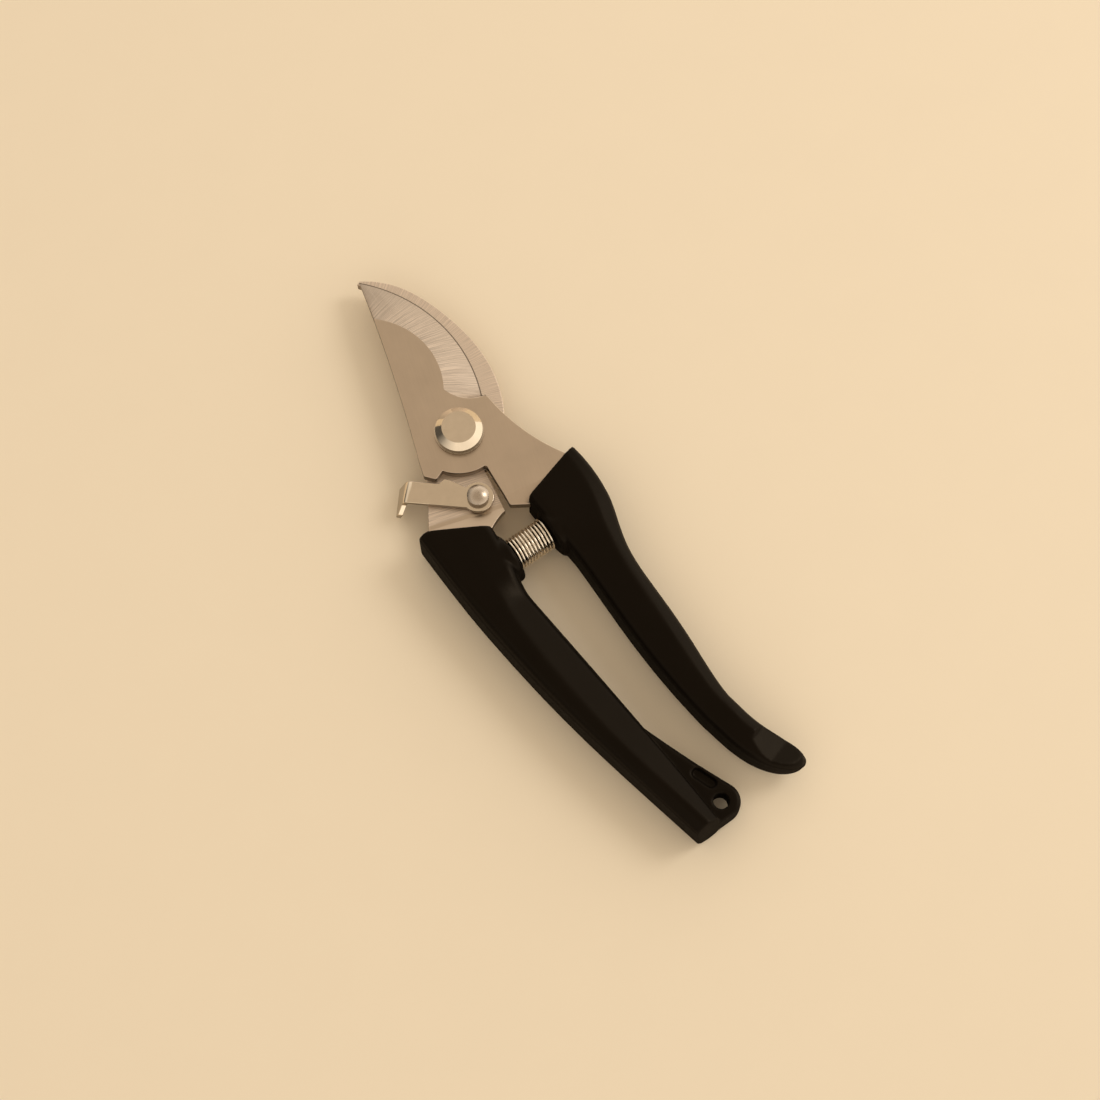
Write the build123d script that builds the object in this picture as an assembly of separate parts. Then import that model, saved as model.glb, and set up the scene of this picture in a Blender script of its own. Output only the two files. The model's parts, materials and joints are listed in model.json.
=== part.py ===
from build123d import *
import os
from math import atan2, cos, degrees, hypot, pi, radians, sin, sqrt

# Bypass pruning shears, closed and latched, lying flat on their grips.
# Every piece is drawn about the pivot axis (x = y = 0), with +Y towards the blade tip,
# +Z up and z = 0 at the surface the shears lie on. The finished set is then moved so that
# the origin is the bottom centre of its bounding box. Lengths are millimetres, angles degrees.

# Layers, bottom to top
GRIP_THICK = 16.0          # grips, measured square to the blades
BLADE_THICK = 3.0          # cutting blade sheet
COUNTER_THICK = 3.0        # hooked counter blade sheet
RUNNING_GAP = 0.05         # between faces that slide on each other

# Pivot
BOLT_HEAD_DIA = 14.4
BOLT_HEAD_FLAT_DIA = 10.4  # flat top inside the bevel
BOLT_HEAD_HIGH = 3.3
BOLT_HEAD_RIM = 1.5        # upright rim below the bevel
BOLT_SHANK_DIA = 8.0
BOLT_SQUARE = 6.8          # across the flats of the neck that stops the bolt turning
BOLT_THREAD_DIA = 5.9
BOLT_PROUD = 0.3           # thread left past the nut
PIVOT_CLEAR = 0.05         # radial, shank in the cutting blade's bore
SEAT_CLEAR = 0.05          # radial, pieces that are clamped and do not turn
HEAD_WASHER_DIA = 15.2
HEAD_WASHER_THICK = 0.6
LOCK_WASHER_DIA = 11.0
LOCK_WASHER_THICK = 1.0
LOCK_WASHER_SPLIT = 1.2    # width of the cut in the spring washer
NUT_FLATS = 10.0
NUT_HIGH = 3.2
NUT_CHAMFER = 0.5

# Cutting blade outline
BLADE_TIP = (4.1, 61.1)
BLADE_BACK = (-6.3, 25.0)          # on the gently curved back
BLADE_SHOULDER = (-15.4, -1.0)
TOE_CORNER = (-16.9, -5.6)         # the toe that the catch holds
TOE_END = (-14.4, -8.7)
TOE_ROUND = 0.7
NOTCH_RADIUS = 13.5                # clearance arc about the pivot, past the toe
NOTCH_START_ANGLE = 213.5
NOTCH_END_ANGLE = 272.0
EDGE_BULGE = (17.4, 28.0)          # on the cutting edge
EDGE_HEEL = (13.3, 7.2)
HEEL_STEP = (13.9, 4.2)            # where the unground blade starts
NECK_MID = (15.9, -9.0)
NECK_END = (22.2, -24.4)
SLIT_FOOT = (-1.0, -28.2)          # lower end of the blade's side of the slit
TANG_SHOULDER = (4.2, -31.4)

# Ground bevel of the cutting blade
BEVEL_TOP = (0.4, 46.6)            # inner bevel line, at the blade's back
BEVEL_MID = (8.3, 30.5)
BEVEL_HEEL = (4.3, 14.4)
HEEL_CURVE = (6.7, 9.6)            # rounded end of the ground part
HEEL_END = (13.0, 5.6)
HEEL_RUNOUT = 1.0                  # how far the wheel leaves the blade at the edge's heel
BEVEL_OVERRUN = 12.0               # degrees the wheel runs past the tip
BEVEL_REACH = 30.0                 # width of the wheel beyond the blade
EDGE_LAND = 0.3                    # thickness left at the cutting edge

# Counter blade outline
HOOK_TIP = (4.6, 61.6)
HOOK_NUB = (3.3, 61.0)
HOOK_BACK = ((13.2, 53.2), (19.9, 36.0), (21.7, 20.0))   # along the outer edge
HOOK_ROOT = (14.4, -3.4)
HOOK_INNER = (11.8, 33.0)          # hollow edge the cutting blade passes
HOOK_THROAT = (5.0, 11.0)
COUNTER_BOSS_RADIUS = 13.6         # round plate about the pivot
COUNTER_LEFT_TOP = (-14.4, -3.2)
COUNTER_LEFT_LOW = (-27.2, -23.1)
SLIT_WIDTH = 0.9                   # between the two blades below the pivot
SLIT_TOP = -15.2
SCOOP_START = (-2.7, -28.0)        # hollow that clears the return spring
SCOOP_MID = (-6.6, -29.2)
SCOOP_END = (-11.6, -32.2)

# Tangs inside the grips, and the bends that bring them to the middle of the grips
BEND_RUN = 8.0                     # length of each gentle bend
BLADE_BEND_AT = (0.0, -25.3)
BLADE_BEND_TURN = -9.0
COUNTER_BEND_AT = (-4.0, -26.5)
COUNTER_BEND_TURN = -17.0
LEFT_TANG_END = (-18.0, -98.0)
RIGHT_TANG_END = (11.2, -94.0)
TANG_WIDTH = 9.0
TANG_ROOT_SHARE = 0.8              # tang's first width, as a share of the blade's width there
KEY_HOLE_DIA = 4.6                 # plastic fills these holes and locks the grip on
LEFT_KEYS = ((-20.6, -58.0), (-18.9, -82.0))
RIGHT_KEYS = ((12.4, -58.0), (11.6, -80.0))

# Lock catch and its rivet
CATCH_THICK = 1.5
CATCH_AT = (-7.2, -20.2)           # rivet axis
CATCH_EYE_RADIUS = 4.8
CATCH_ARM_ANGLE = 139.0            # direction of the arm from the rivet
CATCH_ARM_LOW = 3.8                # arm's edges, square to its length
CATCH_ARM_HIGH = 3.1
CATCH_ARM_LONG = 21.2              # rivet to the bend of the thumb tab
CATCH_HOOK_PEAK = (10.8, 4.8)      # hook that stops the toe, along and across the arm
CATCH_HOOK_FOOT = (12.2, 3.1)
CATCH_HOOK_BACK = (9.0, 4.6)
CATCH_WAIST = (3.6, 2.6)
TAB_DROP = 8.6                     # thumb tab, bent down from the arm
TAB_LEAN = 20.0                    # away from upright
TAB_TAIL = 2.4                     # how far the tab runs past the arm's lower edge
TAB_BEND_RADIUS = 1.0              # inside of the bend
TAB_CORNER = 2.2
CATCH_WASHER_DIA = 8.0
CATCH_WASHER_THICK = 0.35
RIVET_SHANK_DIA = 4.0
RIVET_HEAD_DIA = 6.6
RIVET_HEAD_HIGH = 2.8
RIVET_HEAD_RIM = 1.5               # upright rim below the dome
RIVET_TAIL_DIA = 5.6
RIVET_TAIL_HIGH = 1.2
CATCH_CLEAR = 0.05                 # catch over its rivet, radial and under the head

# Return spring, lying across the shears between two moulded pegs
SPRING_Y = -41.2
SPRING_OUTER_DIA = 10.4
SPRING_WIRE_DIA = 0.7
SPRING_TURNS = 11
LEFT_SEAT_X = -9.6
RIGHT_SEAT_X = 3.7
SPRING_END_CLEAR = 0.1
PEG_CLEAR = 0.5                    # peg inside the coil
PEG_LONG = 4.0
BOSS_DIA = 15.6                    # round collar behind each spring seat
LEFT_BOSS_Y = -41.2
RIGHT_BOSS_Y = -42.6
BOSS_DEEP = 9.0
BOSS_ROUND = 1.2

# Grips: stations from the blades to the ends. Top and bottom have a soft ridge, at a share of
# the width from the inner side, and drop from it to the inner and to the outer flank.
# as (y, inner x, outer x, thickness, ridge, inner drop, outer drop, corner radius)
LEFT_STATIONS = (
    (-18.0, -10.4, -30.1, 16.0, 0.50, 0.2, 0.3, 2.6),
    (-34.0, -10.4, -30.1, 16.0, 0.50, 0.2, 0.3, 2.6),
    (-44.0, -11.6, -29.9, 16.0, 0.48, 0.3, 0.4, 3.0),
    (-48.0, -12.3, -29.8, 16.0, 0.47, 0.8, 0.5, 3.1),
    (-52.0, -12.9, -29.6, 16.0, 0.48, 2.5, 0.7, 3.3),
    (-56.0, -13.1, -29.4, 16.0, 0.51, 3.4, 0.9, 3.4),
    (-70.0, -12.0, -28.2, 16.0, 0.61, 3.6, 1.0, 3.6),
    (-90.0, -10.6, -25.8, 15.8, 0.67, 3.6, 1.0, 3.4),
    (-110.0, -9.5, -22.4, 15.4, 0.68, 3.2, 1.2, 2.6),
    (-127.0, -8.8, -19.1, 15.0, 0.60, 2.8, 1.8, 2.2),
    (-142.7, -8.4, -16.0, 14.4, 0.50, 2.3, 2.6, 1.9),
)
LEFT_JOINS = (2, 5)                # stations where one stretch of the grip passes into the next
# as (centre x, centre y, width, thickness, heading from straight down, ridge, inner drop, outer drop, corner)
RIGHT_STATIONS = (
    (13.8, -20.0, 19.2, 16.0, 0.0, 0.84, 0.3, 0.6, 2.0),
    (14.7, -34.0, 21.2, 16.0, 0.0, 0.80, 0.3, 1.4, 2.4),
    (14.4, -44.0, 19.6, 16.0, -4.0, 0.75, 0.4, 2.2, 2.6),
    (13.9, -48.0, 18.1, 16.0, -5.0, 0.74, 0.8, 2.4, 2.7),
    (13.3, -52.0, 16.5, 16.0, -6.0, 0.74, 1.9, 2.6, 2.8),
    (12.7, -56.0, 15.2, 16.0, -5.5, 0.74, 2.4, 2.6, 2.8),
    (11.5, -69.0, 13.7, 16.0, -3.5, 0.73, 2.4, 2.6, 2.8),
    (11.1, -82.0, 13.7, 15.8, -2.0, 0.70, 2.3, 2.6, 2.8),
    (10.6, -100.0, 12.0, 15.2, 2.0, 0.67, 2.0, 2.4, 2.6),
    (10.9, -115.0, 9.9, 14.4, 10.0, 0.70, 1.6, 2.0, 2.2),
    (12.1, -122.0, 9.9, 13.9, 17.0, 0.70, 1.4, 2.0, 2.2),
    (14.8, -131.0, 9.9, 12.7, 29.0, 0.68, 1.2, 1.9, 2.2),
    (18.8, -137.7, 8.3, 10.2, 42.0, 0.66, 1.1, 1.6, 1.9),
    (22.0, -141.3, 3.8, 4.8, 48.0, 0.60, 0.5, 0.8, 0.9),
)
RIGHT_JOINS = (2, 5, 9)
RIGHT_TIP_AT = (21.1, -140.5)      # ball that rounds the right grip's end
RIGHT_TIP_DIA = 4.6
UNDER_SHARE = 0.4                  # drops of the underside, as a share of the top's
RIDGE_SOFTNESS = 1.3               # radius of the ridge, as a multiple of the corner radius
GRIP_END_LEAN = 6.8                # the left grip's end leans in towards its top
LEFT_FRONT = ((-40.0, -22.3), (-26.8, -22.3), (-13.0, -30.2), (0.0, -37.6))
RIGHT_FRONT = ((-5.0, -33.0), (3.4, -30.8), (25.0, -24.8), (40.0, -20.6))

# Hanging tab at the end of the left grip
HANG_AT = (-4.0, -136.8)
HANG_HOLE_DIA = 4.6
HANG_TAB_RADIUS = 5.7
HANG_TAB_TURN = 22.0               # direction from the hole to where the round end starts
HANG_TAB_THICK = 7.0
HANG_TAB_LOW = 1.6                 # underside above the ground
HANG_TAB_ROUND = 1.2
HANG_TAB_ROOT = (-12.4, -95.2)
HANG_TAB_MID = (-6.0, -115.5)
RECESS_FROM = (-4.7, -126.2)       # shallow moulded pocket above the hole
RECESS_TO = (-3.0, -131.0)
RECESS_WIDE = 3.0
RECESS_DEEP = 2.0

# Two flat facets that meet in a valley on top of the right grip's end
FACET_AT = (17.6, -135.2)          # middle of the valley
FACET_TURN = 17.0                  # the valley's direction
FACET_TILT = 14.0                  # lower on the outer side
FACET_DEEP = 1.5                   # valley below the grip's crown
FACET_RISE = (9.0, 3.0)            # slopes towards the blades and towards the end

# Heights worked out from the layers
MID_Z = GRIP_THICK / 2
HANG_Z = HANG_TAB_LOW + HANG_TAB_THICK / 2
BLADE_Z = MID_Z + RUNNING_GAP / 2
COUNTER_Z = MID_Z - RUNNING_GAP / 2 - COUNTER_THICK
BLADE_TOP_Z = BLADE_Z + BLADE_THICK
COUNTER_TOP_Z = COUNTER_Z + COUNTER_THICK
HEAD_WASHER_Z = BLADE_TOP_Z + RUNNING_GAP
BOLT_HEAD_Z = HEAD_WASHER_Z + HEAD_WASHER_THICK
LOCK_WASHER_Z = COUNTER_Z - LOCK_WASHER_THICK
NUT_Z = LOCK_WASHER_Z - NUT_HIGH
CATCH_WASHER_Z = COUNTER_TOP_Z
CATCH_Z = CATCH_WASHER_Z + CATCH_WASHER_THICK
RIVET_HEAD_Z = CATCH_Z + CATCH_THICK + CATCH_CLEAR
SPRING_COIL_RADIUS = (SPRING_OUTER_DIA - SPRING_WIRE_DIA) / 2

FAR = 400.0                        # longer than the whole tool, for cutting shapes


def polar(radius, angle, centre=(0.0, 0.0)):
    """Plan point at a radius and angle about a centre, which is the pivot unless given."""
    return (centre[0] + radius * cos(radians(angle)), centre[1] + radius * sin(radians(angle)))


def prism(outline, low, high):
    """Upright solid over a closed outline."""
    return extrude(Pos(0, 0, low) * make_face(outline), amount=high - low)


def bent_sheet(thick, flat_z, tang_z, bend_at, bend_turn):
    """Endless sheet that steps from the blade's level to the tang's level along one bend."""
    near, far = 0.0, -BEND_RUN
    profile = Polyline(
        (FAR, flat_z + thick), (near, flat_z + thick), (far, tang_z + thick), (-FAR, tang_z + thick),
        (-FAR, tang_z), (far, tang_z), (near, flat_z), (FAR, flat_z), close=True,
    )
    sheet = extrude(make_face(Plane.YZ * profile), amount=FAR, both=True)
    return Pos(*bend_at) * Rot(0, 0, bend_turn) * sheet


def tang_plan(start, end, first_width):
    """Tapered bar with a round end, seen from above."""
    heading = atan2(end[1] - start[1], end[0] - start[0])
    side = (-sin(heading), cos(heading))
    half, tip = first_width / 2, TANG_WIDTH / 2
    corners = [
        (start[0] + side[0] * half, start[1] + side[1] * half),
        (end[0] + side[0] * tip, end[1] + side[1] * tip),
        (end[0] - side[0] * tip, end[1] - side[1] * tip),
        (start[0] - side[0] * half, start[1] - side[1] * half),
    ]
    return make_face(Polyline(*corners, close=True)) + Pos(*end) * Circle(tip)


def cutting_blade():
    """Upper blade: ground convex edge, toe and clearance notch for the catch, bent tang."""
    notch_start = polar(NOTCH_RADIUS, NOTCH_START_ANGLE)
    notch_end = polar(NOTCH_RADIUS, NOTCH_END_ANGLE)
    notch_mid = polar(NOTCH_RADIUS, (NOTCH_START_ANGLE + NOTCH_END_ANGLE) / 2)
    outline = Curve() + [
        ThreePointArc(BLADE_TIP, EDGE_BULGE, EDGE_HEEL),
        Line(EDGE_HEEL, HEEL_STEP),
        ThreePointArc(HEEL_STEP, NECK_MID, NECK_END),
        Line(NECK_END, TANG_SHOULDER),
        Line(TANG_SHOULDER, SLIT_FOOT),
        Line(SLIT_FOOT, notch_end),
        ThreePointArc(notch_end, notch_mid, notch_start),
        Line(notch_start, TOE_END),
        Line(TOE_END, TOE_CORNER),
        Line(TOE_CORNER, BLADE_SHOULDER),
        ThreePointArc(BLADE_SHOULDER, BLADE_BACK, BLADE_TIP),
    ]
    plan = make_face(outline)
    soft = [v for v in plan.vertices() if near_any(v, (TOE_END, TOE_CORNER, notch_end, SLIT_FOOT))]
    plan = fillet(soft, TOE_ROUND)
    root = ((TANG_SHOULDER[0] + NECK_END[0]) / 2, (TANG_SHOULDER[1] + NECK_END[1]) / 2)
    plan += tang_plan(root, RIGHT_TANG_END, TANG_ROOT_SHARE * (NECK_END[0] - TANG_SHOULDER[0]))
    for key in RIGHT_KEYS:
        plan -= Pos(*key) * Circle(KEY_HOLE_DIA / 2)
    plan -= Circle(BOLT_SHANK_DIA / 2 + PIVOT_CLEAR)
    sheet = bent_sheet(BLADE_THICK, BLADE_Z, MID_Z - BLADE_THICK / 2, BLADE_BEND_AT, BLADE_BEND_TURN)
    return sheet & extrude(plan, amount=2 * GRIP_THICK) - bevel_cut()


def near_any(vertex, points, reach=1e-3):
    """Whether a vertex lies on one of the plan points."""
    return any(hypot(vertex.X - x, vertex.Y - y) < reach for x, y in points)


def circle_through(first, second, third):
    """Centre and radius of the circle through three plan points."""
    (ax, ay), (bx, by), (cx, cy) = first, second, third
    twice = 2 * (ax * (by - cy) + bx * (cy - ay) + cx * (ay - by))
    a2, b2, c2 = ax * ax + ay * ay, bx * bx + by * by, cx * cx + cy * cy
    x = (a2 * (by - cy) + b2 * (cy - ay) + c2 * (ay - by)) / twice
    y = (a2 * (cx - bx) + b2 * (ax - cx) + c2 * (bx - ax)) / twice
    return (x, y), hypot(ax - x, ay - y)


def bevel_cut():
    """What the grinding wheel takes off the cutting blade, from the bevel line down to the edge."""
    def layer(top, mid, heel, curve, end, z):
        centre, radius = circle_through(top, mid, heel)
        begin = degrees(atan2(heel[1] - centre[1], heel[0] - centre[0]))
        span = degrees(atan2(top[1] - centre[1], top[0] - centre[0])) - begin + BEVEL_OVERRUN
        arc = CenterArc(centre, radius, begin, span)
        right, high = end[0] + BEVEL_REACH, BLADE_TIP[1] + BEVEL_REACH
        around = Polyline(
            arc @ 1, ((arc @ 1).X, high), (right, high), (right, end[1] - BEVEL_REACH / 4), end
        )
        return Pos(0, 0, z) * make_face(Curve() + [arc, around, ThreePointArc(end, curve, heel)])

    low_end = (EDGE_HEEL[0] + HEEL_RUNOUT, EDGE_HEEL[1] - 0.6 * HEEL_RUNOUT)
    low_curve = (EDGE_HEEL[0] + 0.4 * HEEL_RUNOUT, EDGE_HEEL[1] - 0.4 * HEEL_RUNOUT)
    top = layer(BEVEL_TOP, BEVEL_MID, BEVEL_HEEL, HEEL_CURVE, HEEL_END, BLADE_TOP_Z)
    low = layer(BLADE_TIP, EDGE_BULGE, EDGE_HEEL, low_curve, low_end, BLADE_Z + EDGE_LAND)
    return loft([low, top], ruled=True)


def counter_blade():
    """Lower blade: hook with a hollow edge, round pivot plate, plate for the catch, bent tang."""
    hook = make_face(Curve() + [
        Spline(HOOK_TIP, *HOOK_BACK, HOOK_ROOT),
        Line(HOOK_ROOT, (0.0, 0.0)),
        Line((0.0, 0.0), HOOK_THROAT),
        ThreePointArc(HOOK_THROAT, HOOK_INNER, HOOK_NUB),
        Line(HOOK_NUB, HOOK_TIP),
    ])
    slit_top = (polar(NOTCH_RADIUS, NOTCH_END_ANGLE)[0] - SLIT_WIDTH, SLIT_TOP)
    plate = make_face(Curve() + [
        Line((0.0, 0.0), slit_top),
        Line(slit_top, SCOOP_START),
        ThreePointArc(SCOOP_START, SCOOP_MID, SCOOP_END),
        Line(SCOOP_END, COUNTER_LEFT_LOW),
        Line(COUNTER_LEFT_LOW, COUNTER_LEFT_TOP),
        Line(COUNTER_LEFT_TOP, (0.0, 0.0)),
    ])
    root = ((SCOOP_END[0] + COUNTER_LEFT_LOW[0]) / 2, (SCOOP_END[1] + COUNTER_LEFT_LOW[1]) / 2)
    plan = hook + plate + Circle(COUNTER_BOSS_RADIUS)
    plan += tang_plan(root, LEFT_TANG_END, TANG_ROOT_SHARE * (SCOOP_END[0] - COUNTER_LEFT_LOW[0]))
    for key in LEFT_KEYS:
        plan -= Pos(*key) * Circle(KEY_HOLE_DIA / 2)
    plan -= bolt_neck_plan(SEAT_CLEAR)
    plan -= Pos(*CATCH_AT) * Circle(RIVET_SHANK_DIA / 2 + SEAT_CLEAR)
    sheet = bent_sheet(
        COUNTER_THICK, COUNTER_Z, MID_Z - COUNTER_THICK / 2, COUNTER_BEND_AT, COUNTER_BEND_TURN
    )
    return sheet & extrude(plan, amount=2 * GRIP_THICK)


def bolt_neck_plan(clear):
    """Square neck with its corners turned down to the shank, grown by a clearance."""
    side = BOLT_SQUARE + 2 * clear
    return Rectangle(side, side) & Circle(BOLT_SHANK_DIA / 2 + clear)


def ring(outer_dia, inner_dia, low, high):
    """Flat washer shape about the pivot."""
    return extrude(Pos(0, 0, low) * (Circle(outer_dia / 2) - Circle(inner_dia / 2)), amount=high - low)


def pivot_bolt():
    """Bevelled round head, shank, square neck and threaded end, in one piece."""
    half_head, half_flat = BOLT_HEAD_DIA / 2, BOLT_HEAD_FLAT_DIA / 2
    top = BOLT_HEAD_Z + BOLT_HEAD_HIGH
    head = revolve(make_face(Plane.XZ * Polyline(
        (0, BOLT_HEAD_Z), (half_head, BOLT_HEAD_Z), (half_head, BOLT_HEAD_Z + BOLT_HEAD_RIM),
        (half_flat, top), (0, top), close=True,
    )), Axis.Z)
    shank = Pos(0, 0, BLADE_Z) * extrude(Circle(BOLT_SHANK_DIA / 2), amount=BOLT_HEAD_Z - BLADE_Z)
    neck = Pos(0, 0, COUNTER_Z) * extrude(bolt_neck_plan(0.0), amount=BLADE_Z - COUNTER_Z)
    thread_low = NUT_Z - BOLT_PROUD
    thread = Pos(0, 0, thread_low) * extrude(Circle(BOLT_THREAD_DIA / 2), amount=COUNTER_Z - thread_low)
    return head + shank + neck + thread


def pivot_nut():
    """Thin hexagon nut with its corners turned off."""
    across_corners = NUT_FLATS / cos(pi / 6)
    blank = Pos(0, 0, NUT_Z) * extrude(RegularPolygon(across_corners / 2, 6), amount=NUT_HIGH)
    turned = Pos(0, 0, NUT_Z) * extrude(Circle(across_corners / 2), amount=NUT_HIGH)
    turned = chamfer(turned.edges().group_by(Axis.Z)[0], NUT_CHAMFER)
    bore = Pos(0, 0, NUT_Z) * extrude(Circle(BOLT_THREAD_DIA / 2 + SEAT_CLEAR), amount=NUT_HIGH)
    return (blank & turned) - bore


def pivot_lock_washer():
    """Split spring washer, pressed flat under the nut."""
    washer = ring(LOCK_WASHER_DIA, BOLT_THREAD_DIA + 2 * SEAT_CLEAR, LOCK_WASHER_Z, COUNTER_Z)
    split = Pos(LOCK_WASHER_DIA / 2, 0, LOCK_WASHER_Z) * Box(LOCK_WASHER_DIA, LOCK_WASHER_SPLIT, GRIP_THICK)
    return washer - split


def pivot_head_washer():
    """Thin washer between the bolt's head and the cutting blade."""
    return ring(HEAD_WASHER_DIA, BOLT_SHANK_DIA + 2 * SEAT_CLEAR, HEAD_WASHER_Z, BOLT_HEAD_Z)


def along_arm(solid):
    """From the catch's own axes (rivet at 0, arm along +X, cutting blade on the -Y side) to the shears."""
    return Pos(CATCH_AT[0], CATCH_AT[1], 0) * Rot(0, 0, CATCH_ARM_ANGLE) * solid


def lock_catch():
    """Stamped lever: eye on the rivet, hook that stops the toe, thumb tab bent down at the end."""
    arm_end = CATCH_ARM_LONG - TAB_BEND_RADIUS
    points = [
        (0.0, CATCH_ARM_LOW), (arm_end, CATCH_ARM_LOW), (arm_end, -CATCH_ARM_HIGH),
        (CATCH_HOOK_FOOT[0], -CATCH_HOOK_FOOT[1]), (CATCH_HOOK_PEAK[0], -CATCH_HOOK_PEAK[1]),
        (CATCH_HOOK_BACK[0], -CATCH_HOOK_BACK[1]), (CATCH_WAIST[0], -CATCH_WAIST[1]),
        (0.0, -CATCH_WAIST[1]),
    ]
    plan = make_face(Polyline(*points, close=True))
    hook = [v for v in plan.vertices() if near_any(v, points[3:6])]
    plan = fillet(hook, TOE_ROUND)
    plan += Circle(CATCH_EYE_RADIUS)
    plan -= Circle(RIVET_SHANK_DIA / 2 + CATCH_CLEAR)
    arm = Pos(0, 0, CATCH_Z) * extrude(plan, amount=CATCH_THICK)
    return along_arm(arm + thumb_tab(arm_end))


def thumb_tab(arm_end):
    """Bend and tab beyond the arm, with rounded lower corners and a tail past the arm's lower edge."""
    inner, outer = TAB_BEND_RADIUS, TAB_BEND_RADIUS + CATCH_THICK
    sweep_angle = 90.0 - TAB_LEAN
    centre = (arm_end, CATCH_Z - inner)
    drop = TAB_DROP - outer

    def around(radius, angle):
        return (centre[0] + radius * sin(radians(angle)), centre[1] + radius * cos(radians(angle)))

    def below(point):
        return (point[0] + drop * sin(radians(TAB_LEAN)), point[1] - drop * cos(radians(TAB_LEAN)))

    outer_foot, inner_foot = around(outer, sweep_angle), around(inner, sweep_angle)
    side = make_face(Plane.XZ * (Curve() + [
        ThreePointArc(around(outer, 0), around(outer, sweep_angle / 2), outer_foot),
        Line(outer_foot, below(outer_foot)),
        Line(below(outer_foot), below(inner_foot)),
        Line(below(inner_foot), inner_foot),
        ThreePointArc(inner_foot, around(inner, sweep_angle / 2), around(inner, 0)),
        Line(around(inner, 0), around(outer, 0)),
    ]))
    wide = extrude(side, amount=FAR / 2, both=True)
    low_z = CATCH_Z + CATCH_THICK - TAB_DROP
    bend_z = CATCH_Z - TAB_BEND_RADIUS
    tail = CATCH_ARM_LOW + TAB_TAIL
    front = make_face(Plane.YZ * FilletPolyline(
        (-CATCH_ARM_HIGH, CATCH_Z + 2 * CATCH_THICK), (CATCH_ARM_LOW, CATCH_Z + 2 * CATCH_THICK),
        (CATCH_ARM_LOW, bend_z), (tail, (bend_z + low_z) / 2), (tail, low_z - TAB_CORNER / 2),
        (-CATCH_ARM_HIGH, low_z - TAB_CORNER / 2),
        close=True, radius=(0, 0, 0, TAB_CORNER / 2, TAB_CORNER, TAB_CORNER),
    ))
    return wide & extrude(front, amount=FAR / 2, both=True)


def catch_washer():
    """Thin spring washer that gives the catch its drag."""
    outer, inner = CATCH_WASHER_DIA / 2, RIVET_SHANK_DIA / 2 + SEAT_CLEAR
    return Pos(*CATCH_AT, CATCH_WASHER_Z) * extrude(Circle(outer) - Circle(inner), amount=CATCH_WASHER_THICK)


def catch_rivet():
    """Domed rivet that the catch turns on, spread on the underside of the counter blade."""
    half, rim_z, top_z = RIVET_HEAD_DIA / 2, RIVET_HEAD_Z + RIVET_HEAD_RIM, RIVET_HEAD_Z + RIVET_HEAD_HIGH
    dome = RIVET_HEAD_HIGH - RIVET_HEAD_RIM
    ball = (half * half + dome * dome) / (2 * dome)
    blank = extrude(Circle(half), amount=top_z)
    head = blank & Pos(0, 0, top_z - ball) * Sphere(ball)
    head -= extrude(Circle(half + RIVET_HEAD_RIM), amount=RIVET_HEAD_Z)
    shank = Pos(0, 0, COUNTER_Z) * extrude(Circle(RIVET_SHANK_DIA / 2), amount=rim_z - COUNTER_Z)
    tail_plan = Pos(0, 0, COUNTER_Z - RIVET_TAIL_HIGH) * Circle(RIVET_TAIL_DIA / 2)
    tail = extrude(tail_plan, amount=RIVET_TAIL_HIGH)
    tail = chamfer(tail.edges().group_by(Axis.Z)[0], RIVET_TAIL_HIGH / 2)
    return Pos(*CATCH_AT) * (head + shank + tail)


def grip_section(width, thick, ridge_x, drops, corner):
    """Section of a grip in its own plane: a soft ridge above and below, dropping to the two flanks."""
    half, top = width / 2, thick / 2
    left, right = top - drops[0], top - drops[1]
    low_left, low_right = UNDER_SHARE * drops[0] - top, UNDER_SHARE * drops[1] - top
    ridge = RIDGE_SOFTNESS * corner
    return make_face(FilletPolyline(
        (ridge_x, top), (half, right), (half, low_right), (ridge_x, -top), (-half, low_left), (-half, left),
        close=True, radius=(ridge, corner, corner, ridge, corner, corner),
    ))


def station_plane(x, y, heading):
    """Upright plane across a grip, facing along it."""
    forward = Vector(sin(radians(heading)), -cos(radians(heading)), 0)
    across = Vector(cos(radians(heading)), sin(radians(heading)), 0)
    return Plane(origin=(x, y, MID_Z), x_dir=across, z_dir=forward)


def grip_body(sections, joins):
    """Solid through the sections, smooth from join to join."""
    ends = (0, *joins, len(sections) - 1)
    stretches = [loft(sections[first:last + 1]) for first, last in zip(ends, ends[1:])]
    return sum(stretches[1:], stretches[0])


def end_cut():
    """Everything past the left grip's leaning end face."""
    past = Box(2 * FAR, FAR, 2 * FAR, align=(Align.CENTER, Align.MAX, Align.CENTER))
    return Pos(0, LEFT_STATIONS[-1][0], 0) * Rot(-GRIP_END_LEAN, 0, 0) * past


def front_cut(line):
    """Everything on the blade side of a grip's front face."""
    first, last = line[0], line[-1]
    outline = Polyline(*line, (last[0], FAR), (first[0], FAR), close=True)
    return prism(outline, -GRIP_THICK, 2 * GRIP_THICK)


def spring_seat(seat_x, boss_y, towards):
    """Collar behind the spring's end, and the peg that holds the coil. towards is +1 or -1 along X."""
    end = -1 if towards > 0 else 0
    collar_face = Plane(origin=(seat_x, boss_y, MID_Z), z_dir=(towards, 0, 0))
    boss = extrude(collar_face * Circle(BOSS_DIA / 2), amount=-BOSS_DEEP)
    boss = fillet(boss.edges().sort_by(Axis.X)[end], BOSS_ROUND)
    peg_radius = SPRING_COIL_RADIUS - SPRING_WIRE_DIA / 2 - PEG_CLEAR
    peg_face = Plane(origin=(seat_x, SPRING_Y, MID_Z), z_dir=(towards, 0, 0))
    peg = extrude(peg_face * Circle(peg_radius), amount=PEG_LONG)
    peg = chamfer(peg.edges().sort_by(Axis.X)[end], peg_radius / 4)
    return boss + peg


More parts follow.
